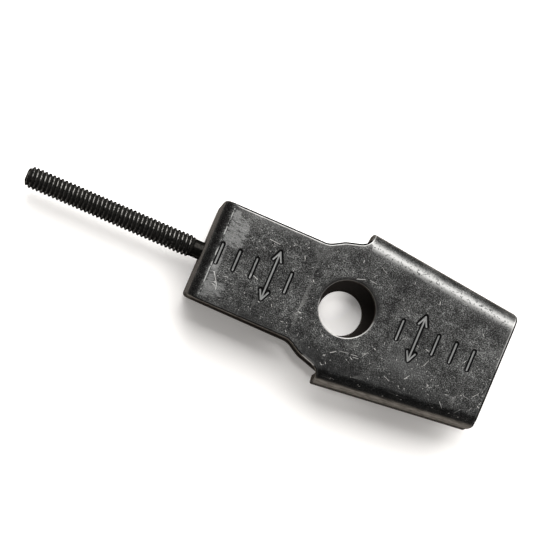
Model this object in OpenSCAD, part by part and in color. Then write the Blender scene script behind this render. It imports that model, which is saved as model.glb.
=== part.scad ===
// Chain adjuster for a motorcycle rear axle, in millimetres.
// One strip of steel is folded into a U: a marked front plate, an end wall and a rear plate.
// A bolt stands out of the end wall, with its head inside the fold.
// The axle passes through both plates. The origin is on the axle's axis, at the back of the
// rear plate. +Z points out of the marked front plate, and +X to the open mouth.

/* [Folded body] */
// Sheet thickness
sheet_t = 2.5; // [1.5:0.1:3]
// Depth over the two plates
body_depth = 18; // [17:0.5:24]
// Distance from the axle's axis to the outside of the end wall
end_reach = 41.5; // [38:0.5:60]
// Distance from the axle's axis to the open mouth
mouth_reach = 43.7; // [40:0.1:60]
// Width of the narrow part of the front plate
narrow_w = 28; // [24:0.5:30]
// Outer radius of the folds at the end wall
end_fold_r = 3.3; // [3.2:0.1:4]
// Radius of the corners at the end wall, seen from the front
end_corner_r = 1.8; // [0.5:0.1:4]

/* [Flanges] */
// Width across the flanges, level with the axle
wide_w = 43.4; // [40:0.2:50]
// Angle by which each flange closes in towards the mouth
flange_taper = 6.47; // [5:0.01:7.1]
// Depth of the flanges, measured from the front face
flange_depth = 9.5; // [7:0.5:13]
// Outer radius of the flange folds
flange_fold_r = 4; // [3.2:0.1:5]
// Distance from the axle's axis back to the cut end of the flanges
flange_start = 0.9; // [0.3:0.1:3]
// Radius of the flange corners at the mouth
mouth_corner_r = 1.8; // [0.5:0.1:4]

/* [Shoulders] */
// Distance from the axle to where the narrow edge turns outward
shoulder_reach = 11.3; // [10:0.1:14]
// Distance from the axle to the bend in the shoulder
brow_reach = 7.4; // [5:0.1:9]
// How far the notch before a flange lies inside the flange's outer face, level with the axle
notch_depth = 3.4; // [3.2:0.1:4]
// Share of the rise from the narrow edge to the notch that lies before the bend in the shoulder
brow_share = 0.53; // [0.4:0.01:0.7]
// Radius where the narrow edge turns outward
shoulder_r = 5; // [1:0.5:8]
// Radius at the bend in the shoulder
brow_r = 6; // [1:0.5:8]
// Radius in the notch before a flange
notch_r = 2.4; // [0.5:0.1:2.5]
// Radius of the sharp front corner of a flange
flange_corner_r = 0.6; // [0.2:0.1:0.8]

/* [Rear plate] */
// How far the rear plate's edge lies inside the front plate's, in the narrow part and the shoulder
rear_inset = 0.8; // [0.2:0.1:3]
// How much nearer to the axle the rear plate's shoulder lies
rear_lag = 1.2; // [0.5:0.1:1.5]
// Room between the rear plate's edge and the inside of the flanges, seen from the front
rear_clear = 0.4; // [0.2:0.1:2]

/* [Axle holes] */
// Diameter of the hole in the front plate
front_hole_d = 15.5; // [13:0.1:20]
// Diameter of the hole in the rear plate, for the axle
rear_hole_d = 12.2; // [10:0.1:17.5]

/* [Index marks] */
// Distance between two marks along the body
mark_pitch = 5.1; // [4:0.1:5.5]
// Distance from the middle of all the marks to the nearest mark on each side
first_mark = 16.3; // [14:0.1:17]
// Where the middle of all the marks lies, from the axle towards the mouth
mark_shift = -1.1; // [-2:0.1:2]
// Length of a plain mark
mark_len = 6; // [3:0.1:8]
// Width of the stamped grooves
groove_w = 0.95; // [0.6:0.05:1.2]
// Depth of the stamped grooves
groove_depth = 0.35; // [0.1:0.05:0.6]
// Length of a double-headed arrow
arrow_len = 14.5; // [10:0.1:18]
// Length of one stroke of an arrow's head
barb_len = 3.8; // [2:0.1:4.5]
// Angle between an arrow's shaft and one stroke of its head
barb_angle = 25; // [15:1:35]

/* [Bolt] */
// Thread diameter
thread_d = 6; // [5:1:6]
// Thread pitch, which sets the tip's chamfer and the shallow run-out
thread_pitch = 1; // [0.5:0.05:1.25]
// How far the bolt stands out of the end wall
bolt_reach = 50.7; // [30:0.5:80]
// Length of the plain shank outside the end wall
shank_out = 2.8; // [1:0.1:10]
// Diameter of the plain shank
shank_d = 4.9; // [4.5:0.1:4.9]
// Width of the hexagon head across its flats
head_flats = 10; // [8:0.5:10]
// Height of the head
head_h = 4; // [3:0.5:6]
// Clearance all round between the thread and its hole in the end wall
bolt_clear = 0.2; // [0.1:0.05:0.4]
// Gap between the head's rear flat and the fold inside the rear plate
head_clear = 0.1; // [0.05:0.05:1]

/* [Hidden] */
// Steps in each rounded corner of an outline
corner_steps = 10;
// How far a cutting shape runs past the surface that it cuts
over = 1;
$fn = 96;

fold_in_r = end_fold_r - sheet_t;
narrow_half = narrow_w / 2;
notch_half = wide_w / 2 - notch_depth;
brow_half = narrow_half + brow_share * (notch_half - narrow_half);
rear_narrow_half = narrow_half - rear_inset;
// Half width of the front plate's outline at x, where the flanges close in
function flange_half(x) = wide_w / 2 - x * tan(flange_taper);
// The same for the rear plate, which lies between the flanges
function rear_half(x) = flange_half(x) - (sheet_t + rear_clear) / cos(flange_taper);
// The bolt sits as low as its head can, against the fold inside the rear plate
bolt_z = sheet_t + fold_in_r + head_clear + head_flats / 2;
inner_x = -end_reach + sheet_t;
mark_count = 5;
// The second mark on each side of the axle is the arrow
arrow_place = 1;

// Point list of a polygon with rounded corners, from corners given as [x, y, radius]
function unit(v) = v / norm(v);
function rounded(corners) = [
    for (i = [0 : len(corners) - 1])
        let (
            n = len(corners),
            c = [corners[i][0], corners[i][1]],
            before = corners[(i + n - 1) % n],
            after = corners[(i + 1) % n],
            a = unit([before[0], before[1]] - c),
            b = unit([after[0], after[1]] - c),
            half = acos(a * b) / 2,
            r = corners[i][2],
            start = c + a * r / tan(half),
            centre = c + unit(a + b) * r / sin(half),
            from = start - centre,
            turn = (a[0] * b[1] - a[1] * b[0] > 0 ? -1 : 1) * (180 - 2 * half)
        )
        for (k = [0 : corner_steps])
            let (s = turn * k / corner_steps)
            centre + [from[0] * cos(s) - from[1] * sin(s), from[0] * sin(s) + from[1] * cos(s)]
];

// A list of corners above the axis, with its mirror image below it
function both_sides(upper) = concat(
    upper,
    [for (i = [len(upper) - 1 : -1 : 0]) [upper[i][0], -upper[i][1], upper[i][2]]]
);

front_corners = [
    [-end_reach, narrow_half, end_corner_r],
    [-shoulder_reach, narrow_half, shoulder_r],
    [-brow_reach, brow_half, brow_r],
    [-flange_start, notch_half, notch_r],
    [-flange_start, flange_half(-flange_start), flange_corner_r],
    [mouth_reach, flange_half(mouth_reach), mouth_corner_r]
];

// The rear plate's shoulder runs on at the front shoulder's slope until it meets its own wide edge
notch_slope = (notch_half - brow_half) / (brow_reach - flange_start);
rear_brow = [-brow_reach + rear_lag, brow_half - rear_inset];
rear_wide_x = (rear_half(0) - rear_brow[1] + notch_slope * rear_brow[0])
    / (notch_slope + tan(flange_taper));
rear_corners = [
    [-end_reach, rear_narrow_half, end_corner_r],
    [-shoulder_reach + rear_lag, rear_narrow_half, shoulder_r],
    [rear_brow[0], rear_brow[1], brow_r],
    [rear_wide_x, rear_half(rear_wide_x), notch_r],
    [mouth_reach, rear_half(mouth_reach), end_corner_r]
];

// Rectangle with round corners at its left end, for the side view of the fold
module left_rounded(x, z, length, height, r) {
    translate([x + r, z]) square([length - r, height]);
    translate([x, z + r]) square([2 * r, height - 2 * r]);
    translate([x + r, z + r]) circle(r);
    translate([x + r, z + height - r]) circle(r);
}

// Side view of the sheet that is folded round the end: two plates and the end wall
module fold_side() {
    difference() {
        left_rounded(-end_reach, 0, end_reach + mouth_reach, body_depth, end_fold_r);
        left_rounded(inner_x, sheet_t, mouth_reach - inner_x + over, body_depth - 2 * sheet_t, fold_in_r);
    }
}

// The folded strip at its full width, before its outline is cut
module fold_strip() {
    rotate([90, 0, 0])
        linear_extrude(wide_w, center = true)
            fold_side();
}

// Where the plain fold ends and the part with flanges begins, inside the straight narrow part
join_x = -shoulder_reach - shoulder_r;

// The end wall narrows from the front plate's width to the rear plate's. The limits run on past
// the join, so that the plain fold overlaps the part with flanges
module end_limits() {
    rotate([90, 0, 90])
        translate([0, 0, -end_reach - over])
            linear_extrude(end_reach + 2 * over + join_x)
                polygon([
                    [-rear_narrow_half, sheet_t], [rear_narrow_half, sheet_t],
                    [narrow_half, body_depth - sheet_t], [narrow_half, body_depth],
                    [-narrow_half, body_depth], [-narrow_half, body_depth - sheet_t]
                ]);
}

// Section through plate and flange, square to a flange's edge, whose outside is at zero
module flange_section() {
    low = body_depth - flange_depth;
    fold_z = body_depth - flange_fold_r;
    difference() {
        union() {
            translate([-wide_w, low]) square([wide_w - flange_fold_r, flange_depth]);
            translate([-flange_fold_r, low]) square([flange_fold_r, flange_depth - flange_fold_r]);
            translate([-flange_fold_r, fold_z]) circle(flange_fold_r);
        }
        translate([-wide_w - over, low - over])
            square([wide_w + over - flange_fold_r, flange_depth + over - sheet_t]);
        translate([-flange_fold_r, low - over])
            square([flange_fold_r - sheet_t, flange_depth + over - flange_fold_r]);
        translate([-flange_fold_r, fold_z]) circle(flange_fold_r - sheet_t);
    }
}

// Half of the front plate with its flange, along the flange's slanting edge
module front_half() {
    intersection() {
        translate([0, flange_half(0), 0])
            rotate([0, 0, -flange_taper])
                rotate([90, 0, 90])
                    translate([0, 0, -end_reach])
                        linear_extrude(end_reach + mouth_reach + wide_w)
                            flange_section();
        translate([join_x, 0, 0]) cube([mouth_reach - join_x, wide_w, body_depth]);
    }
}

// One stamped groove with round ends, lying along Y
module groove(length) {
    straight = length - groove_w;
    linear_extrude(groove_depth + over) {
        square([groove_w, straight], center = true);
        translate([0, straight / 2]) circle(groove_w / 2);
        translate([0, -straight / 2]) circle(groove_w / 2);
    }
}

// The shaft of an arrow and the two strokes at each of its ends
module arrow_mark() {
    groove(arrow_len);
    for (way = [-1, 1])
        for (side = [-1, 1])
            translate([0, way * (arrow_len - groove_w) / 2, 0])
                rotate([0, 0, (way > 0 ? 180 : 0) + side * barb_angle])
                    translate([0, (barb_len - groove_w) / 2, 0])
                        groove(barb_len);
}

// All the marks: four plain ones and an arrow on each side of the axle
module index_marks() {
    for (side = [-1, 1])
        for (i = [0 : mark_count - 1])
            translate([mark_shift + side * (first_mark + i * mark_pitch), 0, body_depth - groove_depth])
                if (i == arrow_place) arrow_mark();
                else groove(mark_len);
}

module adjuster_body() {
    color("#4a4b4c")
        difference() {
            union() {
                // Front plate with its two flanges, and the fold and end wall behind it
                intersection() {
                    linear_extrude(body_depth) polygon(rounded(both_sides(front_corners)));
                    union() {
                        front_half();
                        mirror([0, 1, 0]) front_half();
                        intersection() {
                            fold_strip();
                            end_limits();
                        }
                    }
                }
                // Rear plate
                intersection() {
                    fold_strip();
                    linear_extrude(sheet_t) polygon(rounded(both_sides(rear_corners)));
                }
            }
            translate([0, 0, body_depth / 2]) cylinder(d = front_hole_d, h = body_depth);
            translate([0, 0, -over]) cylinder(d = rear_hole_d, h = body_depth / 2);
            translate([-end_reach - over, 0, bolt_z])
                rotate([0, 90, 0])
                    cylinder(d = thread_d + 2 * bolt_clear, h = sheet_t + 2 * over);
            index_marks();
        }
}

// The bolt lies along X, with the underside of its head on the inside of the end wall
module adjuster_bolt() {
    thread_len = bolt_reach - shank_out;
    tip_chamfer = 0.8 * thread_pitch;
    run_out = (thread_d - shank_d) / 2;
    head_bevel = head_flats / 2 / cos(30) - head_flats / 2;
    color("#2b2b2d")
        translate([inner_x, 0, bolt_z])
            rotate([0, -90, 0]) {
                // Head: a hexagon with flats towards the two plates, its free corners bevelled
                intersection() {
                    rotate([0, 0, 30])
                        translate([0, 0, -head_h])
                            cylinder(d = head_flats / cos(30), h = head_h, $fn = 6);
                    union() {
                        translate([0, 0, -head_h])
                            cylinder(
                                d1 = head_flats,
                                d2 = head_flats / cos(30) + 2 * over,
                                h = (head_bevel + over) * tan(30)
                            );
                        translate([0, 0, -head_h + (head_bevel + over) * tan(30)])
                            cylinder(d = head_flats / cos(30) + 2 * over, h = head_h);
                    }
                }
                cylinder(d = shank_d, h = sheet_t + shank_out);
                translate([0, 0, sheet_t + shank_out])
                    cylinder(d1 = shank_d, d2 = thread_d, h = run_out);
                translate([0, 0, sheet_t + shank_out + run_out])
                    cylinder(d = thread_d, h = thread_len - run_out - tip_chamfer);
                translate([0, 0, sheet_t + bolt_reach - tip_chamfer])
                    cylinder(d1 = thread_d, d2 = thread_d - 2 * tip_chamfer, h = tip_chamfer);
            }
}

adjuster_body();
adjuster_bolt();
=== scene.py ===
"""Chain adjuster: the folded steel body with its stamped marks, and its threaded bolt."""

import math

import bpy
import numpy as np
from mathutils import Matrix, Vector
from mathutils.geometry import delaunay_2d_cdt


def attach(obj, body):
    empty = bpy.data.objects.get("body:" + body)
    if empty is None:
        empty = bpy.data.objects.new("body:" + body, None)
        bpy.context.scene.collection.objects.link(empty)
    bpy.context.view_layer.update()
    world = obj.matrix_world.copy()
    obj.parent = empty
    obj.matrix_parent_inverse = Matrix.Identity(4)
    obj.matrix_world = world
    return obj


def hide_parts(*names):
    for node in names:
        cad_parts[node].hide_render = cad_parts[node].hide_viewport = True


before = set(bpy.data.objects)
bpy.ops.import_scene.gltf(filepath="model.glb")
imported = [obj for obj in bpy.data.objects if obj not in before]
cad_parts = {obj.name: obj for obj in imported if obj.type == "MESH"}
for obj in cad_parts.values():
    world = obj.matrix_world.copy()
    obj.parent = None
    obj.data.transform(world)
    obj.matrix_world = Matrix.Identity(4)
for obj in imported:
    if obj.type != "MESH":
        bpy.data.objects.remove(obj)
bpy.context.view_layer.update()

MM = 0.001

# Sizes of the folded body, in millimetres
SHEET = 2.5
DEPTH = 18.0
END_REACH = 41.5
MOUTH_REACH = 43.7
NARROW_HALF = 14.0
REAR_NARROW_HALF = 13.2
END_FOLD_R = 3.3
WIDE_HALF = 21.7
TAPER = math.radians(6.47)
FLANGE_DEPTH = 9.5
FLANGE_R = 4.0
FLANGE_START = 0.9
MOUTH_CORNER_R = 1.2
FLANGE_CORNER_R = 0.6
REAR_INSET = 0.8
REAR_LAG = 1.2
REAR_CLEAR = 0.4
FRONT_HOLE_R = 7.75
REAR_HOLE_R = 6.1
BOLT_HOLE_R = 3.2
BOLT_Z = 8.4
# Corners of the shoulder on the front plate: distance behind the axle, half width, radius
SHOULDER = [(11.3, NARROW_HALF, 5.0), (7.4, 16.28, 6.0), (FLANGE_START, 18.2, 3.6)]

# Rounding of the sheet's edges
EDGE_R = 0.55
REAR_EDGE_R = 0.4
END_EDGE_R = 1.0
INNER_EDGE_R = 0.25
HOLE_EDGE_R = 0.35
# Where rows of points follow a rounded edge, as shares of its radius
EDGE_ROWS = (0.0, 0.06, 0.2, 0.42, 0.7, 1.0, 1.4)
# Spacing of points along the outline
OUTLINE_STEP = 1.5
# First, last and spacing of the lines across the flat parts, which keep their triangles compact
CROSS_PLACES = (-36, 42, 6.0)
# Rows of points across each bend, and the distance of one more row from the flange's end
BEND_ROWS = 13
FLANGE_ROW_GAP = 1.5
# How far the lines across the pattern reach to each side, and those along it past the mouth
CROSS_REACH = 30.0
PAST_MOUTH = 5
# Triangles are left out within this share of a hole's radius, and points closer than this are one
HOLE_CLEAR = math.cos(math.pi / 80)
MERGE_GAP = 1e-5

# Stamped marks
FIRST_MARK = 16.3
MARK_SHIFT = -1.1
# The marks are a little closer on the side of the bolt
MARK_PITCH = {-1: 5.03, 1: 5.2}
MARK_COUNT = 5
ARROW_PLACE = 1
MARK_LEN = 6.5
ARROW_LEN = {-1: 14.9, 1: 14.0}
BARB_LEN = 3.8
BARB_ANGLE = math.radians(25)
GROOVE_W = 1.1
GROOVE_DEPTH = 0.35
# How far the marks and arrows on each side of the axle lie above the middle line
MARK_RISE = {-1: 0.03, 1: 0.5}
ARROW_RISE = {-1: 0.0, 1: 0.15}

# Bolt
THREAD_R = 3.0
THREAD_ROOT_R = 2.53
THREAD_PITCH = 1.18
BOLT_REACH = 51.4
TIP_LEN = 2.0
TIP_DROP = 1.7
# Share of the tip's length at which its rounding stops, just short of upright
TIP_STOP = 0.99
# How far the bolt lies to one side of the axle
BOLT_SHIFT = -0.3
SHANK_OUT = 2.8
SHANK_R = 2.45
HEAD_FLATS = 10.0
HEAD_H = 4.0
# Profile of one turn of the thread: share of the pitch, and share of the thread's height
THREAD_TURN = [(0.0, 0.0), (0.08, 0.03), (0.32, 0.92), (0.40, 1.0), (0.62, 1.0), (0.70, 0.92),
               (0.94, 0.03), (1.0, 0.0)]
BOLT_SIDES = 64
RINGS_PER_TURN = 12
# The thread starts this far before the shank's end, and rises to its full height over this length
RUN_IN_BEFORE = 0.3
RUN_IN_LEN = 1.2
# Bevel at the head's top, trim of its corners at the end wall, fillet to the shank, and the shank's end
HEAD_TOP_INSET = 0.3
HEAD_TOP_STEP = 0.1
HEAD_BEVEL = 0.8
HEAD_TRIM = 0.12
HEAD_TRIM_LEN = 0.35
FILLET_R = 0.35
FILLET_LEN = 0.3
SHANK_STEP = 0.02
SHANK_STEP_LEN = 0.1
# Radius of the small rings that close the ends
CLOSING_R = 0.1
# How bare the head and shank count, on the scale where a crest of the thread is 1
HEAD_CREST = 0.8


# Fold of the strip round the end wall

FOLD_X = -END_REACH + END_FOLD_R
ARC_LEN = END_FOLD_R * math.pi / 2
WALL_LEN = DEPTH - 2 * END_FOLD_R
REAR_P = FOLD_X - 2 * ARC_LEN - WALL_LEN
REAR_AXLE_P = REAR_P + FOLD_X
WALL_MID_P = FOLD_X - ARC_LEN - (DEPTH - END_FOLD_R - BOLT_Z)

OUTWARD = np.array([math.sin(TAPER), math.cos(TAPER)])
ALONG = np.array([math.cos(TAPER), -math.sin(TAPER)])
FLANGE_ARC = FLANGE_R * math.pi / 2
FLANGE_END_Q = FLANGE_ARC + FLANGE_DEPTH - FLANGE_R

# Places along the flat strip, and how far the strip lies to one side there
SIDE_SHIFTS = [(REAR_AXLE_P, 0.35), (REAR_P, 0.6), (FOLD_X, 0.2), (0, 0.25), (MOUTH_REACH, 0.35)]


def wide_half(x):
    """Half width across the flanges at x."""
    return WIDE_HALF - x * math.tan(TAPER)


def rear_half(x):
    """Half width of the rear plate at x, where it lies between the flanges."""
    return wide_half(x) - (SHEET + REAR_CLEAR) / math.cos(TAPER)


def along(profile, at):
    """Value of a profile, a list of pairs of place and value, at each of the places."""
    places, values = zip(*profile)
    return np.interp(at, places, values)


def side_shift(p):
    """How far the strip lies to one side of the axle, as its fold is a little askew."""
    return along(SIDE_SHIFTS, p)


def sheet_point(flat, below):
    """Bends flat-pattern points into place, each at a distance below the outer skin."""
    p, y = flat[:, 0], flat[:, 1]
    side = np.where(y < 0, -1.0, 1.0)
    upper = np.stack([p, np.abs(y)], 1)
    q = (upper - np.array([0, WIDE_HALF])) @ OUTWARD + FLANGE_R
    flanged = (q > 0) & (p > FOLD_X / 2)
    q = np.where(flanged, q, 0)
    foot = upper - q[:, None] * OUTWARD
    turn = np.clip(q / FLANGE_R, 0, math.pi / 2)
    down = np.clip(q - FLANGE_ARC, 0, None)
    out = FLANGE_R * np.sin(turn) - below * np.sin(turn)
    plan = foot + out[:, None] * OUTWARD
    z = DEPTH - FLANGE_R * (1 - np.cos(turn)) - down - below * np.cos(turn)
    x = plan[:, 0]
    across = plan[:, 1] * side + side_shift(p)

    first = np.clip((FOLD_X - p) / END_FOLD_R, 0, math.pi / 2)
    second = np.clip((FOLD_X - ARC_LEN - WALL_LEN - p) / END_FOLD_R, 0, math.pi / 2)
    wall = np.clip(FOLD_X - ARC_LEN - p, 0, WALL_LEN)
    beyond = np.clip(REAR_P - p, 0, None)
    folded = p < FOLD_X
    r = END_FOLD_R - below
    fold_x = FOLD_X - r * np.sin(first) + r * (1 - np.cos(second)) + beyond
    fold_z = DEPTH - END_FOLD_R + r * np.cos(first) - wall - r * np.sin(second)
    x = np.where(folded, fold_x, x)
    z = np.where(folded, fold_z, z)
    return np.stack([x, across, z], 1) * MM


# Outline of the flat pattern

def rounded(corners, steps=10):
    """Points along an open run of corners (x, y, radius), with each corner but the ends rounded."""
    points = [np.array(corners[0][:2], float)]
    for before, (x, y, r), after in zip(corners, corners[1:], corners[2:]):
        c = np.array([x, y])
        a = np.array(before[:2]) - c
        b = np.array(after[:2]) - c
        a /= np.linalg.norm(a)
        b /= np.linalg.norm(b)
        half = math.acos(np.clip(a @ b, -1, 1)) / 2
        middle = (a + b) / np.linalg.norm(a + b)
        centre = c + middle * r / math.sin(half)
        start = c + a * r / math.tan(half) - centre
        sense = -1 if a[0] * b[1] - a[1] * b[0] > 0 else 1
        for k in range(steps + 1):
            s = sense * (math.pi - 2 * half) * k / steps
            turned = [start[0] * math.cos(s) - start[1] * math.sin(s),
                      start[0] * math.sin(s) + start[1] * math.cos(s)]
            points.append(centre + turned)
    points.append(np.array(corners[-1][:2], float))
    return points


def unbend(point):
    """Flat-pattern place of a point of the front plate given as seen from the front."""
    d = (point - np.array([0, WIDE_HALF])) @ OUTWARD + FLANGE_R
    if d <= 0:
        return point
    q = FLANGE_R * math.asin(min(d / FLANGE_R, 1))
    return point + OUTWARD * (q - d)


def upper_outline():
    """The pattern's edge above the middle line, from the front mouth round to the rear mouth."""
    top = wide_half(MOUTH_REACH)
    mouth = rounded([(MOUTH_REACH, 0, 0), (MOUTH_REACH, top, MOUTH_CORNER_R),
                     (0, wide_half(0), 0)], steps=12)[1:-1]
    edge = [unbend(p) for p in mouth]
    origin = np.array([0, WIDE_HALF])
    far = (mouth[-1] - origin) @ ALONG
    near = -FLANGE_START / math.cos(TAPER)

    def flange_place(s, q):
        return tuple(origin + ALONG * s + OUTWARD * (q - FLANGE_R))

    edge += rounded([flange_place(far, FLANGE_ARC),
                     flange_place(far, FLANGE_END_Q) + (FLANGE_CORNER_R,),
                     flange_place(near, FLANGE_END_Q) + (FLANGE_CORNER_R,),
                     flange_place(near, FLANGE_ARC)], steps=6)
    plan = rounded([(-FLANGE_START, wide_half(-FLANGE_START), 0)]
                   + [(-d, h, r) for d, h, r in reversed(SHOULDER)] + [(FOLD_X, NARROW_HALF, 0)])
    steps = np.linspace(0, 1, 9)[:-1]
    edge += [unbend(plan[0] + (plan[1] - plan[0]) * s) for s in steps]
    edge += [unbend(p) for p in plan[1:]]
    edge.append(np.array([FOLD_X - ARC_LEN, NARROW_HALF]))
    edge.append(np.array([FOLD_X - ARC_LEN - WALL_LEN, REAR_NARROW_HALF]))
    (shoulder, _, shoulder_r), (brow, brow_half, brow_r), (_, notch_half, notch_r) = SHOULDER
    slope = (notch_half - brow_half) / (brow - FLANGE_START)
    brow_y = brow_half - REAR_INSET
    brow_x = -brow + REAR_LAG
    wide_x = (rear_half(0) - brow_y + slope * brow_x) / (slope + math.tan(TAPER))
    rear = rounded([(FOLD_X, REAR_NARROW_HALF, 0),
                    (-shoulder + REAR_LAG, REAR_NARROW_HALF, shoulder_r),
                    (brow_x, brow_y, brow_r), (wide_x, rear_half(wide_x), notch_r),
                    (MOUTH_REACH, rear_half(MOUTH_REACH), END_EDGE_R), (MOUTH_REACH, 0, 0)])
    edge += [np.array([REAR_AXLE_P - p[0], p[1]]) for p in rear[:-1]]
    return edge


def refine(loop, step):
    """Splits the long sides of a closed loop, and drops points that coincide."""
    points = []
    for a, b in zip(loop, np.roll(loop, -1, 0)):
        length = np.linalg.norm(b - a)
        if length < 1e-4:
            continue
        n = max(1, math.ceil(length / step))
        points += [a + (b - a) * k / n for k in range(n)]
    return np.array(points)


def circle(centre, r, count):
    """Points on a circle."""
    angles = np.arange(count) * 2 * math.pi / count
    return np.array(centre) + r * np.stack([np.cos(angles), np.sin(angles)], 1)


def segment_distance(points, a, b):
    """Distance of each point from each segment."""
    ab = b - a
    length2 = np.maximum((ab ** 2).sum(1), 1e-12)
    best = np.full(len(points), 1e9)
    for start, run, l2 in zip(a, ab, length2):
        t = np.clip(((points - start) @ run) / l2, 0, 1)
        gap = points - start - t[:, None] * run
        best = np.minimum(best, (gap ** 2).sum(1))
    return np.sqrt(best)


def inside(points, loop):
    """Whether each point lies inside a closed loop."""
    result = np.zeros(len(points), bool)
    for a, b in zip(loop, np.roll(loop, -1, 0)):
        crosses = (a[1] > points[:, 1]) != (b[1] > points[:, 1])
        rise = b[1] - a[1] if abs(b[1] - a[1]) > 1e-12 else 1e-12
        x = a[0] + (points[:, 1] - a[1]) * (b[0] - a[0]) / rise
        result ^= crosses & (points[:, 0] < x)
    return result


def edge_radius(p):
    """Rounding of the sheet's outer edges: small on the plates, large down the end wall."""
    into = np.clip((FOLD_X - p) / ARC_LEN, 0, 1)
    out = np.clip((p - REAR_P) / ARC_LEN, 0, 1)
    share = np.minimum(into, out)
    share = share * share * (3 - 2 * share)
    plate = np.where(p > REAR_P, EDGE_R, REAR_EDGE_R)
    return plate + (END_EDGE_R - plate) * share


# Wear and painted light by distance from the side face: the upper edge, which faces the light, gets a
# bright line that is partly rubbing and partly painted highlight, with a painted dark line outside it
RUBBED_AND_LIT_LINE = [(0.0, 0.0), (0.36, 0.0), (0.55, 1.0), (0.77, 0.1), (0.85, 0.0)]
PAINTED_DARK_LINE = [(0.0, -1.0), (0.36, -1.0), (0.55, 0.0)]
# The painted dark line stays inside this distance from the middle, and from the side face
BLACK_REACH = 19.5
BLACK_GAP = 0.6
# Length of the strip in which an edge counts as the mouth's, and how much of its rounding is in painted
# shade
MOUTH_STRIP = 1.0
MOUTH_SHADE_SHARE = 0.8
# Share of the rubbing and painted highlight that the lower edge, turned away from the light, gets
LOWER_EDGE_SHARE = 0.15
# Where along the lower edge the burr by the notch is bare
BURR = (-6.4, -2.4)
# Width of the worn ring on the front hole's rim, and how rubbed and how bare its two sides are; on the
# lower side, whose rounding faces the light, the brightening is partly a painted highlight
RIM_WEAR = 0.3
RIM_RUBBED_AND_LIT = {"lower": 1.0, "upper": 0.3}
RIM_BARE_AND_LIT = {"lower": 0.45, "upper": 0.1}


# Stamped marks as centre lines

def mark_strokes():
    """Start and end of each stamped stroke on the front plate."""
    strokes = []
    for side in (-1, 1):
        for i in range(MARK_COUNT):
            x = MARK_SHIFT + side * (FIRST_MARK + i * MARK_PITCH[side])
            arrow = i == ARROW_PLACE
            length = ARROW_LEN[side] if arrow else MARK_LEN
            half = (length - GROOVE_W) / 2
            y = (ARROW_RISE if arrow else MARK_RISE)[side] - side_shift(x)
            strokes.append(((x, y - half), (x, y + half)))
            if not arrow:
                continue
            run = BARB_LEN - GROOVE_W
            for way in (-1, 1):
                for lean in (-1, 1):
                    tip = y + way * half
                    strokes.append(((x, tip), (x + lean * run * math.sin(BARB_ANGLE),
                                               tip - way * run * math.cos(BARB_ANGLE))))
    return np.array(strokes)


def stadium(a, b, r, arc=8):
    """Closed loop at distance r round the segment from a to b."""
    run = (b - a) / np.linalg.norm(b - a)
    facing = math.atan2(run[1], run[0])
    points = []
    for centre, start in ((b, facing - math.pi / 2), (a, facing + math.pi / 2)):
        for k in range(arc + 1):
            angle = start + math.pi * k / arc
            points.append(centre + r * np.array([math.cos(angle), math.sin(angle)]))
    return np.array(points)


# Profile of a stamped groove: distance from its centre line as a share of its half width, and depth
GROOVE_PROFILE = [(0.0, 1.0), (0.36, 1.0), (0.48, 0.9), (0.8, 0.45), (1.2, 0.04), (1.35, 0.0)]
# Painted light in the groove at a share of its half width: -1 for its sides in painted shade, 1 for its
# lighter floor with a painted sheen
GROOVE_SHADE_AND_SHEEN = [(0.0, 1.0), (0.36, 1.0), (0.48, -1.0), (0.8, -1.0), (1.2, -1.0), (1.35, 0.0)]


def groove_share(points, strokes):
    """Distance of each point from the nearest stroke, as a share of a groove's half width."""
    return segment_distance(points, strokes[:, 0], strokes[:, 1]) / (GROOVE_W / 2)


# Fine scratches
SCRATCH_DEPTH = 0.02
SCRATCH_HALF = 0.09
SCRATCH_SEED = 11
LONG_STRENGTHS = (0.35, 0.9)
SHORT_SCRATCHES = 420
# They lie between these places, and within this half width up to where the plate widens
SCRATCH_PLACES = (-37, 43)
SCRATCH_NARROW = 12.5
SCRATCH_WIDENS = -10
# They lean one of two ways, in radians, each with some spread
SCRATCH_LEANS = (0.35, 2.3)
LEAN_SPREAD = 0.5
# Below this the plate is scratched more, by this factor
ROUGH_BELOW = -5
ROUGH_GAIN = 1.6
# No short scratch lies this near to the front hole
SCRATCH_CLEAR = 2
# Start and end of the longer scratches, on the front plate
LONG_SCRATCHES = [
    ((2.4, -11.5), (4.9, -11.1)), ((5.7, -11.1), (7.4, -10.9)), ((6.4, -11.6), (7.9, -11.4)),
    ((8.6, -10.4), (9.5, -9.0)), ((2.9, -19.0), (4.2, -19.2)), ((32.5, -13.3), (33.8, -14.7)),
    ((37.3, -14.7), (38.5, -13.1)), ((37.9, -9.4), (39.3, -9.5)), ((0.3, -12.9), (1.6, -12.0)),
    ((21.4, -11.5), (22.4, -10.1)), ((16.1, -12.9), (17.9, -13.6)), ((40.2, -8.7), (41.5, -7.1)),
    ((-0.8, 8.2), (1.4, 9.0)), ((2.7, 9.3), (4.8, 9.1)), ((4.7, 13.5), (6.1, 12.8)),
    ((-27.8, -1.7), (-25.3, -2.6)), ((-26.5, 8.7), (-23.4, 8.5)), ((24.9, -6.1), (25.6, -4.3)),
    ((-36.9, -5.2), (-35.0, -8.1)), ((-35.0, -8.1), (-34.6, -9.6)),
]


# Bare nicks along the lower fold and the mouth's edge
NICKS = [(3.1, -19.4), (10.6, -17.9), (11.1, -18.1), (17.9, -18.1), (21.3, -16.3), (22.8, -17.0),
         (31.4, -15.6), (36.1, -15.2), (38.8, -15.2), (42.6, 3.5), (42.9, -2.4), (42.7, -7.3), (42.8, -9.6)]
NICK_HALF = (0.16, 0.08)


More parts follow.
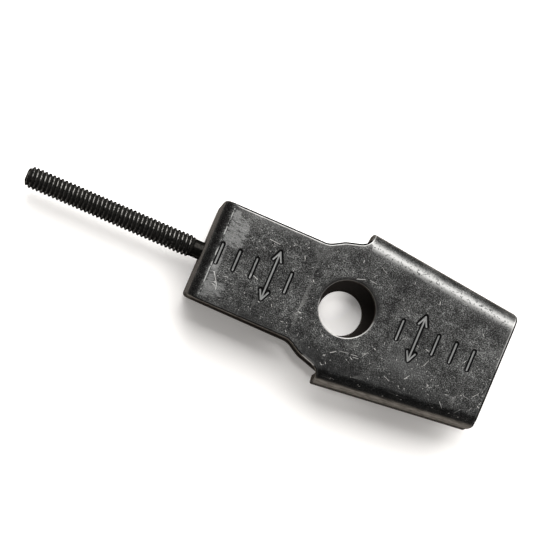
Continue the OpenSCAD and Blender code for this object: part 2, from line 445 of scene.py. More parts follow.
def scratch_strokes():
    """The long scratches, and many short ones strewn over the front plate, with their strengths."""
    strokes = list(LONG_SCRATCHES)
    dice = np.random.default_rng(SCRATCH_SEED)
    strengths = list(dice.uniform(*LONG_STRENGTHS, len(strokes)))
    dx, dy = NICK_HALF
    strokes += [((x - dx, y - dy), (x + dx, y + dy)) for x, y in NICKS]
    strengths += [1.0] * len(NICKS)
    for _ in range(SHORT_SCRATCHES):
        x = dice.uniform(*SCRATCH_PLACES)
        half = SCRATCH_NARROW if x < SCRATCH_WIDENS else wide_half(x) - FLANGE_R
        y = dice.uniform(-half, half)
        run = 0.06 + 0.42 * dice.random() ** 4
        facing = dice.choice(SCRATCH_LEANS) + dice.normal(0, LEAN_SPREAD)
        by_hole = math.hypot(x, y) < FRONT_HOLE_R + SCRATCH_CLEAR
        # The upper half of the mouth's side has fewer
        if by_hole or (x > 0 and y > 0 and dice.random() < 0.5):
            continue
        lean = np.array([math.cos(facing), math.sin(facing)]) * run
        strokes.append(((x - lean[0], y - lean[1]), (x + lean[0], y + lean[1])))
        strength = 0.12 + 0.75 * dice.random() ** 1.8
        strengths.append(min(strength * ROUGH_GAIN, 1.0) if y < ROUGH_BELOW else strength)
    return np.array(strokes), np.array(strengths)


def scratch_share(points, strokes, strengths):
    """How strongly each point is scratched."""
    share = np.zeros(len(points))
    for stroke, strength in zip(strokes, strengths):
        gap = segment_distance(points, stroke[None, 0], stroke[None, 1])
        share = np.maximum(share, strength * np.clip(1 - gap / SCRATCH_HALF, 0, 1))
    return share


def quarter(e, r):
    """How far a rounded edge of radius r has dropped at distance e from the side face."""
    x = np.clip(r - e, 0, r)
    return r - np.sqrt(np.maximum(r * r - x * x, 0))


def make_mesh(name, points, faces):
    """Smooth-shaded object made of these points and faces."""
    mesh = bpy.data.meshes.new(name)
    mesh.from_pydata([tuple(v) for v in points], [], faces)
    mesh.validate()
    mesh.update()
    mesh.shade_smooth()
    piece = bpy.data.objects.new(name, mesh)
    bpy.context.scene.collection.objects.link(piece)
    return piece


def store(piece, name, values):
    """Keeps one value for each point as an attribute that the material reads."""
    layer = piece.data.attributes.new(name, "FLOAT", "POINT")
    layer.data.foreach_set("value", values)


def body_holes():
    """Centre in the flat pattern, radius, rounding and number of points of each hole."""
    holes = ((0.0, 0.0, FRONT_HOLE_R, HOLE_EDGE_R, 96), (REAR_AXLE_P, 0.0, REAR_HOLE_R, REAR_EDGE_R, 80),
             (WALL_MID_P, BOLT_SHIFT, BOLT_HOLE_R, INNER_EDGE_R, 40))
    return [((p, y - side_shift(p)), r, rounding, count) for p, y, r, rounding, count in holes]


def fold_lines():
    """Lines along the folds and across the flat parts, so that flat triangles follow the bends."""
    def across(p):
        return np.array([[p, -CROSS_REACH], [p, CROSS_REACH]])

    lines = []
    for start in (FOLD_X, FOLD_X - ARC_LEN - WALL_LEN):
        lines += [across(p) for p in np.linspace(start, start - ARC_LEN, BEND_ROWS)]
    for side in (-1, 1):
        for q in np.append(np.linspace(0, FLANGE_ARC, BEND_ROWS), FLANGE_END_Q - FLANGE_ROW_GAP):
            place = np.array([0, WIDE_HALF]) + OUTWARD * (q - FLANGE_R)
            ends = np.array([place + ALONG * (FOLD_X / 2), place + ALONG * (MOUTH_REACH + PAST_MOUTH)])
            lines.append(ends * np.array([1, side]))
    for x in np.arange(*CROSS_PLACES):
        lines += [across(p) for p in (x, REAR_AXLE_P - x)]
    return lines


def pattern_lines(outline, holes, strokes, scratches):
    """Points of the flat pattern, and the lines between them that its triangles keep to."""
    coords, edges = [], []

    def add(points, closed=True):
        first = len(coords)
        coords.extend(points)
        count = len(points)
        edges.extend((first + i, first + i + 1) for i in range(count - 1))
        if closed:
            edges.append((first + count - 1, first))

    run = np.roll(outline, -1, 0) - np.roll(outline, 1, 0)
    tangent = run / np.linalg.norm(run, axis=1)[:, None]
    inward = np.stack([-tangent[:, 1], tangent[:, 0]], 1)
    radius = edge_radius(outline[:, 0])[:, None]
    for share in EDGE_ROWS:
        add(outline + inward * radius * share)
    for centre, r, rounding, count in holes:
        for share in EDGE_ROWS:
            add(circle(centre, r + rounding * share, count))
    for a, b in strokes:
        for share, _ in GROOVE_PROFILE[1:]:
            add(stadium(a, b, share * GROOVE_W / 2))
        add(np.array([a, b]), closed=False)
    for a, b in scratches:
        add(stadium(a, b, SCRATCH_HALF, arc=3))
        add(np.array([a, b]), closed=False)
    for line in fold_lines():
        add(line, closed=False)
    return coords, edges


def triangles(coords, edges, outline, holes):
    """Points and triangles of the flat pattern, all facing up, without its holes and surroundings."""
    flat, _, faces, *_ = delaunay_2d_cdt([Vector(c) for c in coords], edges, [], 0, MERGE_GAP)
    flat = np.array([tuple(v) for v in flat])
    faces = np.array([f for f in faces if len(f) == 3])
    middle = flat[faces].mean(1)
    keep = inside(middle, outline)
    for centre, r, _, _ in holes:
        keep &= np.linalg.norm(middle - np.array(centre), axis=1) > r * HOLE_CLEAR
    used, faces = np.unique(faces[keep], return_inverse=True)
    faces = faces.reshape(-1, 3)
    flat = flat[used]
    turn = np.cross(flat[faces[:, 1]] - flat[faces[:, 0]], flat[faces[:, 2]] - flat[faces[:, 0]])
    faces[turn < 0] = faces[turn < 0][:, ::-1]
    return flat, faces


def thickened(faces, count):
    """Faces of the sheet's skin, back and side walls, and the points on the rim of its skin."""
    skin = [tuple(f) for f in faces]
    back = [(f[2] + count, f[1] + count, f[0] + count) for f in faces]
    sides = {}
    for f in skin:
        for a, b in ((f[0], f[1]), (f[1], f[2]), (f[2], f[0])):
            if (b, a) in sides:
                del sides[(b, a)]
            else:
                sides[(a, b)] = True
    walls = [(b, a, a + count, b + count) for a, b in sides]
    return skin + back + walls, sorted({i for pair in sides for i in pair})


def fading(gap, width):
    """1 up to a tenth of the width, and from there down to 0 a tenth beyond it."""
    return np.clip(1.1 - gap / width, 0, 1)


def skin_looks(flat, gap, strokes, scratch, front_hole):
    """Wear with its painted highlight, painted shade and sheen of the grooves and edges, scratches and
    share of the fold at each point of the outer skin.
    """
    x, y = flat[:, 0], flat[:, 1]
    wear_and_highlight = along(RUBBED_AND_LIT_LINE, gap) * np.where(y > 0, 1.0, LOWER_EDGE_SHARE) * (x > FOLD_X)
    burr = (x > BURR[0]) & (x < BURR[1]) & (y < 0)
    scratch = np.maximum(scratch, np.where(burr, fading(gap, EDGE_R), 0))
    # The front hole's rim is bare, most of all on its lower side, where it is lightened partly as a painted
    # highlight
    centre, r, _, _ = front_hole
    ring = fading(np.linalg.norm(flat - np.array(centre), axis=1) - r, RIM_WEAR)
    below = y < centre[1]
    wear_and_highlight = np.maximum(wear_and_highlight, np.where(below, RIM_RUBBED_AND_LIT["lower"], RIM_RUBBED_AND_LIT["upper"]) * ring)
    scratch = np.maximum(scratch, np.where(below, RIM_BARE_AND_LIT["lower"], RIM_BARE_AND_LIT["upper"]) * ring)
    # Share of the upper flange's fold: 0 where it starts and 1 where it ends
    bend = (y - WIDE_HALF) * OUTWARD[1] + x * OUTWARD[0] + FLANGE_R
    bend = np.where(x > -FLANGE_START, bend / FLANGE_ARC, -1)
    # Painted shade: the mouth's edge and a line along the upper edge are as dark as the sides of a groove
    mouth_edge_shade = (x > MOUTH_REACH - MOUTH_STRIP) & (gap < MOUTH_SHADE_SHARE * EDGE_R)
    groove = np.where(mouth_edge_shade, -1.0, along(GROOVE_SHADE_AND_SHEEN, groove_share(flat, strokes)))
    upper_edge_shade = (y > 0) & (y < BLACK_REACH) & (x > FOLD_X) & (x < 0) & (gap < BLACK_GAP)
    groove = np.where(upper_edge_shade, along(PAINTED_DARK_LINE, gap), groove)
    return {"wear_and_highlight": wear_and_highlight, "groove": groove, "scratch": scratch, "bend": bend}


def build_body():
    """The folded body: its flat pattern is cut into triangles, which are bent into place."""
    upper = upper_outline()
    lower = [np.array([p[0], -p[1]]) for p in reversed(upper)]
    outline = refine(np.array(upper + lower), OUTLINE_STEP)
    holes = body_holes()
    strokes = mark_strokes()
    scratches, strengths = scratch_strokes()
    coords, edges = pattern_lines(outline, holes, strokes, scratches)
    flat, faces = triangles(coords, edges, outline, holes)

    gap = segment_distance(flat, outline, np.roll(outline, -1, 0))
    drop = quarter(gap, edge_radius(flat[:, 0]))
    under = quarter(gap, INNER_EDGE_R)
    for centre, r, rounding, _ in holes:
        rim = np.clip(np.linalg.norm(flat - np.array(centre), axis=1) - r, 0, None)
        drop = np.maximum(drop, quarter(rim, rounding))
        under = np.maximum(under, quarter(rim, INNER_EDGE_R))
    drop = np.maximum(drop, GROOVE_DEPTH * along(GROOVE_PROFILE, groove_share(flat, strokes)))
    scratch = scratch_share(flat, scratches, strengths)
    drop += SCRATCH_DEPTH * scratch

    count = len(flat)
    points = np.concatenate([sheet_point(flat, drop), sheet_point(flat, SHEET - under)])
    faces, rim_points = thickened(faces, count)
    piece = make_mesh("folded_body", points, faces)
    none = np.zeros(count)
    cut = np.zeros(count)
    cut[rim_points] = 1.0
    looks = skin_looks(flat, gap, strokes, scratch, holes[0])
    store(piece, "inner", np.concatenate([none, 1 - cut]))
    store(piece, "cut", np.concatenate([cut, cut]))
    for name, values in looks.items():
        store(piece, name, np.concatenate([values, none]))
    weigh_normals(piece)
    return piece


def weigh_normals(piece):
    """Smooth normals in which large faces count for most, so that flat parts stay flat."""
    modifier = piece.modifiers.new("even_shading", "WEIGHTED_NORMAL")
    modifier.mode = "FACE_AREA"
    modifier.weight = 100
    modifier.keep_sharp = False


def tip_share(x):
    """How much of the bolt's radius is left at x, as its tip is round."""
    into = np.clip((x - BOLT_REACH + TIP_LEN) / TIP_LEN, 0, TIP_STOP)
    return 1 - TIP_DROP / THREAD_R * (1 - math.sqrt(1 - into ** 2))


def thread_radius(x, angle):
    """Radius of the threaded part at x, where the thread runs in from the shank and out at the tip."""
    height = along(THREAD_TURN, (x / THREAD_PITCH + angle / (2 * math.pi)) % 1.0)
    full = THREAD_ROOT_R + (THREAD_R - THREAD_ROOT_R) * height
    run_in = np.clip((x - SHANK_OUT + RUN_IN_BEFORE) / RUN_IN_LEN, 0, 1)
    return (SHANK_R + (full - SHANK_R) * run_in) * tip_share(x)


def hexagon_radius(angle):
    """Radius of the head's hexagon."""
    side = math.pi / 3
    off = (angle - side / 2) % side - side / 2
    return HEAD_FLATS / 2 / math.cos(off)


def build_bolt():
    """The bolt as rings along its length, from its head to its tip; x is 0 at the end wall."""
    points, rings = [], []

    def ring(x, radius):
        rings.append(len(points))
        for k in range(BOLT_SIDES):
            angle = 2 * math.pi * k / BOLT_SIDES
            r = radius(angle) if callable(radius) else radius
            points.append((x, r * math.cos(angle), r * math.sin(angle)))

    def bevelled(limit):
        return lambda angle: min(hexagon_radius(angle), limit)

    back = -SHEET
    flats_r = HEAD_FLATS / 2
    corner_r = flats_r / math.cos(math.pi / 6)
    ring(back - HEAD_H, CLOSING_R)
    ring(back - HEAD_H, flats_r - HEAD_TOP_INSET)
    for drop in (0.0, 0.25, 0.5, HEAD_BEVEL):
        limit = flats_r + (corner_r - flats_r) * drop / HEAD_BEVEL
        ring(back - HEAD_H + HEAD_TOP_STEP + drop * math.tan(math.pi / 6), bevelled(limit))
    ring(back - HEAD_TRIM_LEN, hexagon_radius)
    ring(back, bevelled(corner_r - HEAD_TRIM))
    ring(back, SHANK_R + FILLET_R)
    ring(back + FILLET_LEN, SHANK_R)
    ring(SHANK_OUT - RUN_IN_BEFORE, SHANK_R)
    ring(SHANK_OUT - SHANK_STEP_LEN, SHANK_R + SHANK_STEP)
    turns = int((BOLT_REACH - SHANK_OUT - (THREAD_R - SHANK_R)) / THREAD_PITCH) + 1
    for x in np.linspace(SHANK_OUT, BOLT_REACH, turns * RINGS_PER_TURN):
        ring(x, lambda angle: thread_radius(x, angle))
    ring(BOLT_REACH, CLOSING_R)

    faces = []
    for a, b in zip(rings, rings[1:]):
        for k in range(BOLT_SIDES):
            n = (k + 1) % BOLT_SIDES
            faces.append((a + k, a + n, b + n, b + k))
    faces.append(tuple(range(rings[0], rings[0] + BOLT_SIDES))[::-1])
    faces.append(tuple(range(rings[-1], rings[-1] + BOLT_SIDES)))
    placed = [((-END_REACH - x) * MM, (y + BOLT_SHIFT) * MM, (BOLT_Z + z) * MM) for x, y, z in points]
    piece = make_mesh("threaded_bolt", placed, faces)
    store(piece, "crest", [(math.hypot(y, z) / tip_share(x) - THREAD_ROOT_R) / (THREAD_R - THREAD_ROOT_R)
                           if x > SHANK_OUT else HEAD_CREST for x, y, z in points])
    return piece


# Materials

def tree_of(owner):
    """Empty node tree of a material or world."""
    owner.use_nodes = True
    tree = owner.node_tree
    tree.nodes.clear()
    return tree


def node(tree, kind, **inputs):
    """New node with these values on its inputs."""
    made = tree.nodes.new(kind)
    for name, value in inputs.items():
        made.inputs[name].default_value = value
    return made


def join(tree, source, target):
    """Links one node's output to another's input."""
    tree.links.new(source, target)


def principled(name):
    """New material with its tree and its shader."""
    material = bpy.data.materials.new(name)
    tree = tree_of(material)
    shader = node(tree, "ShaderNodeBsdfPrincipled")
    join(tree, shader.outputs[0], node(tree, "ShaderNodeOutputMaterial").inputs["Surface"])
    return material, tree, shader


def ramp(tree, source, stops):
    """Colour ramp over a value; each stop has a place and a grey or a colour."""
    made = tree.nodes.new("ShaderNodeValToRGB")
    points = made.color_ramp.elements
    while len(points) < len(stops):
        points.new(0.5)
    for point, (at, value) in zip(points, stops):
        point.position = at
        point.color = (*value, 1) if isinstance(value, tuple) else (value, value, value, 1)
    join(tree, source, made.inputs["Fac"])
    return made.outputs["Color"]


def maths(tree, operation, *values):
    """Maths node; each value is a number or another node's output."""
    made = tree.nodes.new("ShaderNodeMath")
    made.operation = operation
    for socket, value in zip(made.inputs, values):
        if isinstance(value, (int, float)):
            socket.default_value = value
        else:
            join(tree, value, socket)
    return made.outputs[0]


def times(tree, a, b):
    """Product of two values."""
    return maths(tree, "MULTIPLY", a, b)


def blend(tree, share, a, b, mode="MIX"):
    """Mix of two colours; the share and the colours are values or other nodes' outputs."""
    made = tree.nodes.new("ShaderNodeMix")
    made.data_type = "RGBA"
    made.blend_type = mode
    for socket, value in ((made.inputs[0], share), (made.inputs[6], a), (made.inputs[7], b)):
        if isinstance(value, (int, float)):
            socket.default_value = value
        elif isinstance(value, tuple):
            socket.default_value = (*value, 1)
        else:
            join(tree, value, socket)
    return made.outputs[2]


def step(tree, value, low, high):
    """Smooth rise from 0 at low to 1 at high; it falls when low is above high."""
    made = tree.nodes.new("ShaderNodeMapRange")
    made.interpolation_type = "SMOOTHSTEP"
    flip = low > high
    made.inputs["From Min"].default_value = min(low, high)
    made.inputs["From Max"].default_value = max(low, high)
    made.inputs["To Min"].default_value = 1.0 if flip else 0.0
    made.inputs["To Max"].default_value = 0.0 if flip else 1.0
    join(tree, value, made.inputs["Value"])
    return made.outputs[0]


def place_in_mm(tree, stretch=(1, 1, 1)):
    """Object coordinates in millimetres, times a factor along each axis."""
    made = tree.nodes.new("ShaderNodeMapping")
    made.inputs["Scale"].default_value = tuple(1 / MM * k for k in stretch)
    join(tree, tree.nodes.new("ShaderNodeTexCoord").outputs["Object"], made.inputs["Vector"])
    return made.outputs[0]


def split(tree, vector):
    """The three parts of a vector."""
    made = tree.nodes.new("ShaderNodeSeparateXYZ")
    join(tree, vector, made.inputs[0])
    return made.outputs


def noise(tree, place, scale, detail=3.0, rough=0.6):
    """Noise from 0 to 1, with a scale in waves per millimetre."""
    made = node(tree, "ShaderNodeTexNoise", Scale=scale, Detail=detail, Roughness=rough)
    join(tree, place, made.inputs["Vector"])
    return made.outputs["Fac"]


def attribute(tree, name):
    """Value that the mesh keeps under this name."""
    made = tree.nodes.new("ShaderNodeAttribute")
    made.attribute_name = name
    return made.outputs["Fac"]


def soft_box(tree, x, y, box, soft):
    """1 inside a rectangle, given by two corners, and 0 outside it, with a soft border."""
    low, high = box
    inside_x = times(tree, step(tree, x, low[0] - soft, low[0] + soft),
                     step(tree, x, high[0] + soft, high[0] - soft))
    inside_y = times(tree, step(tree, y, low[1] - soft, low[1] + soft),
                     step(tree, y, high[1] + soft, high[1] - soft))
    return times(tree, inside_x, inside_y)


# Places on the front plate, in millimetres: the scuffed strip and patches beside the fold, the
# bright line where they end, and a smudge below the marks on the mouth's side
SCUFFED_STRIP = ((-38.2, -12.6), (-36.0, 13.0))
SCUFFED_PATCHES = [((-37.5, 2.0), (-32.0, 11.5)), ((-37.5, -12.0), (-32.0, -6.5))]
BRIGHT_LINE = ((-38.5, -12.4), (-38.25, 12.8))
SMUDGE = ((15.0, -11.0), (26.0, -5.0))

# Colours of the body
COAT_SHADES = [(0.36, (0.014, 0.014, 0.0137)), (0.50, (0.028, 0.028, 0.0272)),
               (0.64, (0.053, 0.053, 0.0515))]
COAT_SPECKLE = [(0.32, 0.12), (0.47, 0.62), (0.58, 1.5), (0.68, 3.6)]
SCUFFED = (0.125, 0.125, 0.122)
BRIGHT = (0.30, 0.30, 0.29)
SMUDGED = (0.105, 0.105, 0.103)
# Painted shade towards the lower flange
LOWER_SIDE_SHADE = (0.010, 0.010, 0.010)
# Painted shade round the hole and on the fold
HOLE_AND_FOLD_SHADE = (0.010, 0.0097, 0.0094)
# Painted sheen and highlight on the upper flange's fold, over its real polish
FOLD_SHEEN = (0.080, 0.080, 0.078)
POLISHED_HIGHLIGHT = (0.19, 0.188, 0.182)
# Painted reflection of the floor on the walls, lighter on those facing down, and painted shade on the
# lowest
WALL_REFLECTION_SHADES = [(0.35, (0.055, 0.050, 0.045)), (0.65, (0.110, 0.101, 0.092))]
LOWER_WALL_LIGHT_SHADES = [(0.35, (0.082, 0.075, 0.066)), (0.62, (0.160, 0.147, 0.131))]
LOWEST_WALL_SHADE = (0.030, 0.027, 0.024)
# Rubbed edges, lightened partly as wear and partly as a painted highlight
RUBBED_AND_LIT = (0.28, 0.275, 0.265)
SCRATCHED = (0.46, 0.45, 0.43)
CUT_FACE = (0.042, 0.036, 0.030)
INSIDE = (0.022, 0.019, 0.017)
# Painted shade on the sides of the grooves, and a painted sheen on their floors
GROOVE_SIDE_SHADE = (0.004, 0.004, 0.004)
GROOVE_FLOOR_SHEEN = (0.115, 0.115, 0.112)


def scuffed(tree, place):
    """The rubbed patches on the front plate beside the fold, and the sharp line where they end."""
    x, y, z = split(tree, place)
    patches = soft_box(tree, x, y, SCUFFED_STRIP, 0.5)
    for box in SCUFFED_PATCHES:
        patches = maths(tree, "MAXIMUM", patches, soft_box(tree, x, y, box, 1.6))
    streaks = noise(tree, place_in_mm(tree, (0.4, 1.5, 1)), 1.3, detail=4.0, rough=0.7)
    patches = maths(tree, "ADD", patches, times(tree, streaks, 2.0))
    rubbed = step(tree, patches, 1.6, 2.1)
    above = step(tree, z, DEPTH - 1.5, DEPTH - 0.8)
    kept = times(tree, step(tree, x, FOLD_X - 0.4, FOLD_X - 0.1), above)
    rim = times(tree, soft_box(tree, x, y, BRIGHT_LINE, 0.15), above)
    broken = step(tree, noise(tree, place, 0.7, detail=2.0), 0.38, 0.55)
    return times(tree, rubbed, kept), times(tree, rim, broken)


def coat(tree, place, grain, mottle):
    """The black coat with its speckle."""
    blotch = noise(tree, place, 0.12, detail=3.0, rough=0.5)
    shade = maths(tree, "ADD", times(tree, mottle, 0.5), times(tree, blotch, 0.5))
    return blend(tree, 1.0, ramp(tree, shade, COAT_SHADES), ramp(tree, grain, COAT_SPECKLE), "MULTIPLY")


def with_patches_and_shade(tree, place, grain, colour):
    """The colour with the front plate's paler scuffs and smudge, and its painted shade."""
    patches, rim = scuffed(tree, place)
    colour = blend(tree, times(tree, patches, times(tree, grain, 1.35)), colour, SCUFFED)
    colour = blend(tree, times(tree, rim, 0.8), colour, BRIGHT)
    x, y, z = split(tree, place)
    smudge = times(tree, soft_box(tree, x, y, SMUDGE, 3.5), grain)
    colour = blend(tree, times(tree, smudge, 0.55), colour, SMUDGED)
    # Painted shade: the plate is darkened towards the lower flange
    lower = step(tree, y, -7.0, -18.0)
    colour = blend(tree, times(tree, lower, 0.75), colour, LOWER_SIDE_SHADE)
    # Painted shade too round the upper side of the hole, and on the fold to the end wall
    square = maths(tree, "ADD", times(tree, x, x), times(tree, y, y))
    hole_shade = step(tree, maths(tree, "SQRT", square), FRONT_HOLE_R + 1.8, FRONT_HOLE_R + 0.2)
    hole_shade = times(tree, hole_shade, step(tree, y, -3.0, 4.0))
    fold = times(tree, step(tree, x, FOLD_X - 0.1, FOLD_X - 1.0), 0.5)
    shaded = times(tree, maths(tree, "MAXIMUM", times(tree, hole_shade, 0.9), fold),
                   step(tree, z, DEPTH - 2.5, DEPTH - 1.5))
    return blend(tree, shaded, colour, HOLE_AND_FOLD_SHADE)


def with_polish_and_highlight(tree, place, colour):
    """The colour with the fold of the upper flange, polished but pitted, with a painted sheen and highlight
    where the key light's reflection falls.
    """
    bend = attribute(tree, "bend")
    # Painted sheen and highlight where the key light's reflection falls on the upper fold
    fold_sheen = times(tree, step(tree, bend, -0.55, 0.0), step(tree, bend, 0.6, 0.3))
    colour = blend(tree, times(tree, fold_sheen, 0.2), colour, FOLD_SHEEN)
    polish_and_highlight = times(tree, step(tree, bend, -0.2, 0.03), step(tree, bend, 0.36, 0.1))
    pits = step(tree, noise(tree, place, 1.6, detail=3.0, rough=0.6), 0.37, 0.45)
    return blend(tree, times(tree, polish_and_highlight, times(tree, pits, 0.75)), colour, POLISHED_HIGHLIGHT)


def with_wall_reflections(tree, grain, normal, colour):
    """The colour with the walls: brownish as a painted reflection of the floor, lighter as painted light on
    the lower side, and in painted shade where they face straight down.
    """
    # Painted reflection and shade: steep faces take a brown-grey by the way they face, lighter when turned
    # down
    facing_down = step(tree, normal[1], -0.2, -0.7)
    streaks = noise(tree, place_in_mm(tree, (0.25, 1, 1)), 1.6, detail=3.0, rough=0.6)
    wall_reflection = blend(tree, facing_down, ramp(tree, grain, WALL_REFLECTION_SHADES),
                  ramp(tree, streaks, LOWER_WALL_LIGHT_SHADES))
    steep = blend(tree, facing_down, step(tree, normal[2], 0.6, 0.3), step(tree, normal[2], 0.82, 0.6))
    colour = blend(tree, steep, colour, wall_reflection)
    downward_shade = times(tree, step(tree, normal[2], 0.2, 0.0), facing_down)
    return blend(tree, downward_shade, colour, LOWEST_WALL_SHADE)


def blackened_steel():
    """The body's steel: a worn black coat on the plate with painted shade and highlights, and walls
    coloured as a painted reflection of the floor.
    """
    material, tree, shader = principled("blackened_steel")
    place = place_in_mm(tree)
    grain = noise(tree, place, 3.6, detail=2.0, rough=0.6)
    mottle = noise(tree, place, 0.5, detail=5.0, rough=0.6)
    normal = split(tree, tree.nodes.new("ShaderNodeNewGeometry").outputs["Normal"])

    colour = coat(tree, place, grain, mottle)
    colour = with_patches_and_shade(tree, place, grain, colour)
    colour = with_polish_and_highlight(tree, place, colour)
    colour = with_wall_reflections(tree, grain, normal, colour)
    # Worn edges with their painted highlight, and scratches, then the cut faces and the inside
    rubbed = times(tree, attribute(tree, "wear_and_highlight"), maths(tree, "ADD", 0.4, mottle))
    colour = blend(tree, rubbed, colour, RUBBED_AND_LIT)
    colour = blend(tree, attribute(tree, "scratch"), colour, SCRATCHED)
    cut = attribute(tree, "cut")
    colour = blend(tree, cut, colour, CUT_FACE)
    inner = attribute(tree, "inner")
    colour = blend(tree, inner, colour, INSIDE)
    # Stamped grooves: painted shade on their sides, and a painted sheen on their lighter floor
    groove = attribute(tree, "groove")
    side = step(tree, groove, -0.1, -0.6)
    colour = blend(tree, side, colour, GROOVE_SIDE_SHADE)
    colour = blend(tree, step(tree, groove, 0.3, 0.9), colour, GROOVE_FLOOR_SHEEN)
    join(tree, colour, shader.inputs["Base Color"])

    # The walls, the sides of the grooves, the cut faces and the inside are dull
    wall = step(tree, normal[2], 0.74, 0.45)
    dull = maths(tree, "MAXIMUM", times(tree, wall, 0.9), side)
    dull = maths(tree, "MAXIMUM", dull, times(tree, maths(tree, "MAXIMUM", cut, inner), 0.7))
    gloss = maths(tree, "SUBTRACT", 1.0, dull)
    join(tree, times(tree, gloss, 0.88), shader.inputs["Metallic"])
    shader.inputs["Specular IOR Level"].default_value = 0.0
    # A dark edge tint keeps faces seen at a slant from mirroring the floor
    shader.inputs["Specular Tint"].default_value = (0.2, 0.19, 0.18, 1)
    rough = maths(tree, "ADD", 0.24, times(tree, grain, 0.2))
    join(tree, rough, shader.inputs["Roughness"])
    bump = node(tree, "ShaderNodeBump", Strength=1.0, Distance=0.01 * MM)
    join(tree, noise(tree, place, 2.2, detail=2.0, rough=0.5), bump.inputs["Height"])
    join(tree, bump.outputs[0], shader.inputs["Normal"])
    return material


# Colours of the bolt
BOLT_SHADES = [(0.35, (0.004, 0.004, 0.004)), (0.68, (0.016, 0.015, 0.013))]
WORN_CREST = (0.090, 0.087, 0.082)


def bolt_black():
    """The bolt's black finish, with the crests of its thread a little worn."""
    material, tree, shader = principled("bolt_black")
    grain = noise(tree, place_in_mm(tree), 2.4, detail=3.0, rough=0.7)
    crest = attribute(tree, "crest")
    worn = times(tree, step(tree, crest, 0.9, 1.0), step(tree, grain, 0.38, 0.6))
    colour = blend(tree, worn, ramp(tree, grain, BOLT_SHADES), WORN_CREST)
    join(tree, colour, shader.inputs["Base Color"])
    rough = maths(tree, "ADD", 0.12, times(tree, grain, 0.2))
    join(tree, rough, shader.inputs["Roughness"])
    shader.inputs["Specular IOR Level"].default_value = 0.0
    shader.inputs["Specular Tint"].default_value = (0.1, 0.1, 0.1, 1)
    # The thread's flanks and roots are dull, so that they stay black
    join(tree, times(tree, step(tree, crest, 0.45, 0.95), 0.9), shader.inputs["Metallic"])
    return material


def dress(piece, material, cad_node):
    """Gives a piece its material, hides the frame's node that it stands for, and ties it to the root body.
    """
    piece.data.materials.clear()
    piece.data.materials.append(material)
    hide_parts(cad_node)
    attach(piece, "root")


# Camera, given by the photo: the millimetres that a pixel covers and the front hole's pixel

PHOTO_PX = 533
MM_PER_PX = 0.268
HOLE_PX = (347.4, 309.0)
AXIS_SLOPE = math.radians(23.6)
CAMERA_DISTANCE = 1500.0
# Shift in pixels between the front and the rear face, along the body and across it
PARALLAX_PX = (-4.8, 8.2)
SENSOR_WIDTH = 36

# Lamps, in metres and watts: the key comes from the top of the picture, the fill from its low right.
# Each direction leans to the picture's right by a share of its way up or down
LAMP_DISTANCE = 0.7
LAMP_SIZE = 0.8
KEY_LEAN = 0.42
KEY_SLANT = math.radians(40)
KEY_POWER = 12.5
FILL_LEAN = 0.5
FILL_SLANT = math.radians(75)
FILL_POWER = 2.0
FILL_COLOUR = (1, 0.96, 0.91)
# The world: its light everywhere, what its bright side adds, and where that side leans
SKY_EVERYWHERE = 0.13
SKY_BRIGHT = 1.2
SKY_LEAN = 0.5

# Floor, in metres, its colour, and its glow, with places in millimetres
FLOOR_HALF = 3.0
FLOOR_COLOUR = (0.87, 0.85, 0.83, 1)
GLOW_COLOUR = (1.0, 0.975, 0.95, 1)
GLOW_EVERYWHERE = 0.15
GLOW_IN_HOLE = 0.5
# Where the glow in the hole is strongest, to the right and up from the axle, and how far it reaches
GLOW_PLACE = (-3.0, 5.5)
GLOW_FULL = 1.0
GLOW_END = 8.0


def add_camera():
    """The photo's camera; it returns the picture's directions to the right and up."""
    lean = np.array(PARALLAX_PX) * MM_PER_PX / DEPTH
    toward = Vector((lean[0], -lean[1], 1)).normalized()
    data = bpy.data.cameras.new("camera")
    camera = bpy.data.objects.new("camera", data)
    bpy.context.scene.collection.objects.link(camera)
    bpy.context.scene.camera = camera
    data.sensor_width = SENSOR_WIDTH
    data.lens = SENSOR_WIDTH * CAMERA_DISTANCE / (PHOTO_PX * MM_PER_PX)
    data.clip_start = 0.01
    data.clip_end = 10
    # In the photo the body's axis runs down to the right
    screen_right = Vector((math.cos(AXIS_SLOPE), math.sin(AXIS_SLOPE), 0))
    right = (screen_right - toward * screen_right.dot(toward)).normalized()
    up = toward.cross(right)
    turn = Matrix((right, up, toward)).transposed()
    hole = Vector((0, 0, DEPTH)) * MM
    off_x = (HOLE_PX[0] - PHOTO_PX / 2) * MM_PER_PX * MM
    off_y = (PHOTO_PX / 2 - HOLE_PX[1]) * MM_PER_PX * MM
    aim = hole - right * off_x - up * off_y
    camera.matrix_world = Matrix.Translation(aim + toward * CAMERA_DISTANCE * MM) @ turn.to_4x4()
    return right, up


def area_light(name, direction, slant, power, colour=(1, 1, 1)):
    """Square lamp at a slant from the vertical, facing the frame's origin."""
    data = bpy.data.lights.new(name, "AREA")
    data.shape = "RECTANGLE"
    data.size = LAMP_SIZE
    data.size_y = LAMP_SIZE
    data.energy = power
    data.color = colour
    lamp = bpy.data.objects.new(name, data)
    away = (direction * math.sin(slant) + Vector((0, 0, math.cos(slant)))).normalized()
    side = away.cross(Vector((0, 0, 1))).normalized()
    turn = Matrix((side, away.cross(side), away)).transposed().to_4x4()
    lamp.matrix_world = Matrix.Translation(away * LAMP_DISTANCE) @ turn
    bpy.context.scene.collection.objects.link(lamp)


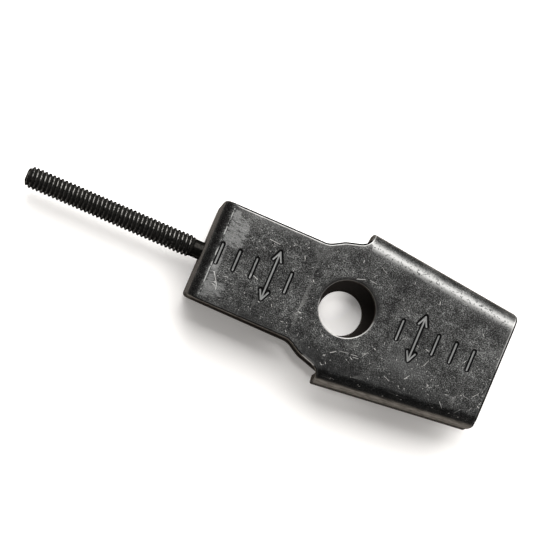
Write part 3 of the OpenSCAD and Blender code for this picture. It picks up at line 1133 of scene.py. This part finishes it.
def add_lights(right, up):
    """A pale studio: a soft key light from the top, a weaker fill from the low right, and a world."""
    world = bpy.data.worlds.new("studio")
    bpy.context.scene.world = world
    tree = tree_of(world)
    sky = node(tree, "ShaderNodeBackground", Color=(1, 1, 1, 1))
    join(tree, sky.outputs[0], node(tree, "ShaderNodeOutputWorld").inputs["Surface"])
    screen_up = Vector((up.x, up.y, 0)).normalized()
    screen_right = Vector((right.x, right.y, 0)).normalized()
    # The studio is brightest towards the top right of the picture
    facing = tree.nodes.new("ShaderNodeVectorMath")
    facing.operation = "DOT_PRODUCT"
    join(tree, tree.nodes.new("ShaderNodeTexCoord").outputs["Generated"], facing.inputs[0])
    facing.inputs[1].default_value = (screen_up + screen_right * SKY_LEAN).normalized()
    rise = step(tree, facing.outputs["Value"], -0.2, 0.75)
    strength = maths(tree, "ADD", SKY_EVERYWHERE, times(tree, rise, SKY_BRIGHT))
    join(tree, strength, sky.inputs["Strength"])

    top = (screen_up + screen_right * KEY_LEAN).normalized()
    area_light("key", top, KEY_SLANT, KEY_POWER)
    bottom = (screen_right * FILL_LEAN - screen_up).normalized()
    area_light("fill", bottom, FILL_SLANT, FILL_POWER, FILL_COLOUR)


def add_floor(right, up):
    """The pale floor, which counts as stage."""
    mesh = bpy.data.meshes.new("floor")
    corners = [(-1, -1), (1, -1), (1, 1), (-1, 1)]
    mesh.from_pydata([(x * FLOOR_HALF, y * FLOOR_HALF, 0) for x, y in corners], [], [(0, 1, 2, 3)])
    floor = bpy.data.objects.new("floor", mesh)
    bpy.context.scene.collection.objects.link(floor)
    material, tree, paint = principled("floor")
    paint.inputs["Base Color"].default_value = FLOOR_COLOUR
    paint.inputs["Roughness"].default_value = 1.0
    paint.inputs["Specular IOR Level"].default_value = 0.0
    paint.inputs["Emission Color"].default_value = GLOW_COLOUR
    # Painted light: the floor glows brighter inside the axle hole, on the side under the front plate
    near = tree.nodes.new("ShaderNodeVectorMath")
    near.operation = "DISTANCE"
    join(tree, tree.nodes.new("ShaderNodeTexCoord").outputs["Object"], near.inputs[0])
    near.inputs[1].default_value = (right * GLOW_PLACE[0] + up * GLOW_PLACE[1]) * MM
    glow = step(tree, near.outputs["Value"], GLOW_END * MM, GLOW_FULL * MM)
    glow = times(tree, glow, GLOW_IN_HOLE)
    join(tree, maths(tree, "ADD", GLOW_EVERYWHERE, glow), paint.inputs["Emission Strength"])
    mesh.materials.append(material)


right, up = add_camera()
add_lights(right, up)
add_floor(right, up)
bpy.context.scene.view_settings.view_transform = "Standard"

dress(build_body(), blackened_steel(), "adjuster_body")
dress(build_bolt(), bolt_black(), "adjuster_bolt")
